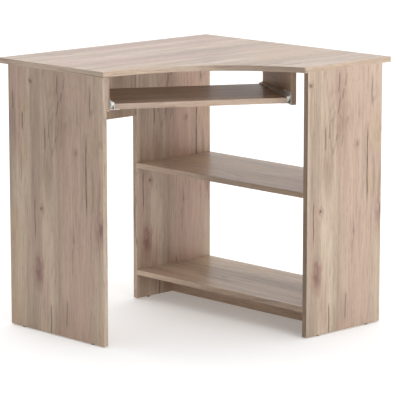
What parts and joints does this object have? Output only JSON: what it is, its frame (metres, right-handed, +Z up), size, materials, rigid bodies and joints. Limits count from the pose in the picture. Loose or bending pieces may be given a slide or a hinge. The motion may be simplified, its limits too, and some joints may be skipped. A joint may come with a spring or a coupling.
{
  "type": "corner computer desk",
  "caption": "Corner computer desk with a concave front, side shelves and a keyboard tray that rolls out on runners under the top.",
  "frame": {"origin": "on the floor, under the middle of the desktop's outer rectangle", "axes": "+Z up; the room's corner is towards +X and +Y, the left wing ends at -X and the right wing ends at -Y; the sitter is towards -X and -Y"},
  "size_m": [0.8, 0.74, 0.75],
  "materials": {
    "oak_laminate": "satin greige oak decor with vertical grain, dark cracks and knots",
    "oak_edge_band": "satin edge band in the same oak decor",
    "runner_steel": "satin white powder coat on sheet steel",
    "roller_nylon": "natural white nylon",
    "zinc_hardware": "bright zinc plating",
    "dowel_beech": "bare fluted beech",
    "glide_plastic": "dark moulded plastic"
  },
  "bodies": {
    "carcass": {"desktop": "oak_laminate", "left_panel": "oak_laminate", "right_panel": "oak_laminate", "inner_panel": "oak_laminate", "back_rail": "oak_laminate", "middle_shelf": "oak_laminate", "bottom_shelf": "oak_laminate", "plinth": "oak_laminate", "left_hanger": "oak_laminate", "right_hanger": "oak_laminate", "desktop_edge_band": "oak_edge_band", "left_panel_edge_band": "oak_edge_band", "right_panel_edge_band": "oak_edge_band", "inner_panel_edge_band": "oak_edge_band", "back_rail_edge_band": "oak_edge_band", "middle_shelf_edge_band": "oak_edge_band", "bottom_shelf_edge_band": "oak_edge_band", "left_hanger_edge_band": "oak_edge_band", "right_hanger_edge_band": "oak_edge_band", "left_fixed_runner": "runner_steel", "right_fixed_runner": "runner_steel", "front_roller_pins": "zinc_hardware", "fixed_runner_screws": "zinc_hardware", "cam_locks": "zinc_hardware", "cam_bolts": "zinc_hardware", "wooden_dowels": "dowel_beech", "floor_glides": "glide_plastic"},
    "tray": {"keyboard_tray": "oak_laminate", "keyboard_tray_edge_band": "oak_edge_band", "left_tray_runner": "runner_steel", "right_tray_runner": "runner_steel", "rear_roller_pins": "zinc_hardware", "tray_runner_screws": "zinc_hardware"},
    "left_front_wheel": {"left_front_roller": "roller_nylon"},
    "right_front_wheel": {"right_front_roller": "roller_nylon"},
    "left_rear_wheel": {"left_rear_roller": "roller_nylon"},
    "right_rear_wheel": {"right_rear_roller": "roller_nylon"}
  },
  "joints": [
    {"name": "tray_slide", "type": "slide", "parent": "carcass", "child": "tray", "axis": [-0.5, -0.866, 0], "range_m": [0, 0.21]},
    {"name": "left_front_spin", "type": "hinge", "parent": "carcass", "child": "left_front_wheel", "pos_m": [-0.33204, -0.02276, 0.6505], "axis": [0.866, -0.5, 0], "range_deg": [0, 1416]},
    {"name": "right_front_spin", "type": "hinge", "parent": "carcass", "child": "right_front_wheel", "pos_m": [0.09336, -0.26836, 0.6505], "axis": [0.866, -0.5, 0], "range_deg": [0, 1416]},
    {"name": "left_rear_spin", "type": "hinge", "parent": "tray", "child": "left_rear_wheel", "pos_m": [-0.20104, 0.20414, 0.6505], "axis": [0.866, -0.5, 0], "range_deg": [0, 1416]},
    {"name": "right_rear_spin", "type": "hinge", "parent": "tray", "child": "right_rear_wheel", "pos_m": [0.22436, -0.04146, 0.6505], "axis": [0.866, -0.5, 0], "range_deg": [0, 1416]}
  ],
  "couplings": [
    {"joint": "left_front_spin", "follows": "tray_slide", "rad_per_m": 117.65},
    {"joint": "right_front_spin", "follows": "tray_slide", "rad_per_m": 117.65},
    {"joint": "left_rear_spin", "follows": "tray_slide", "rad_per_m": 117.65},
    {"joint": "right_rear_spin", "follows": "tray_slide", "rad_per_m": 117.65}
  ]
}
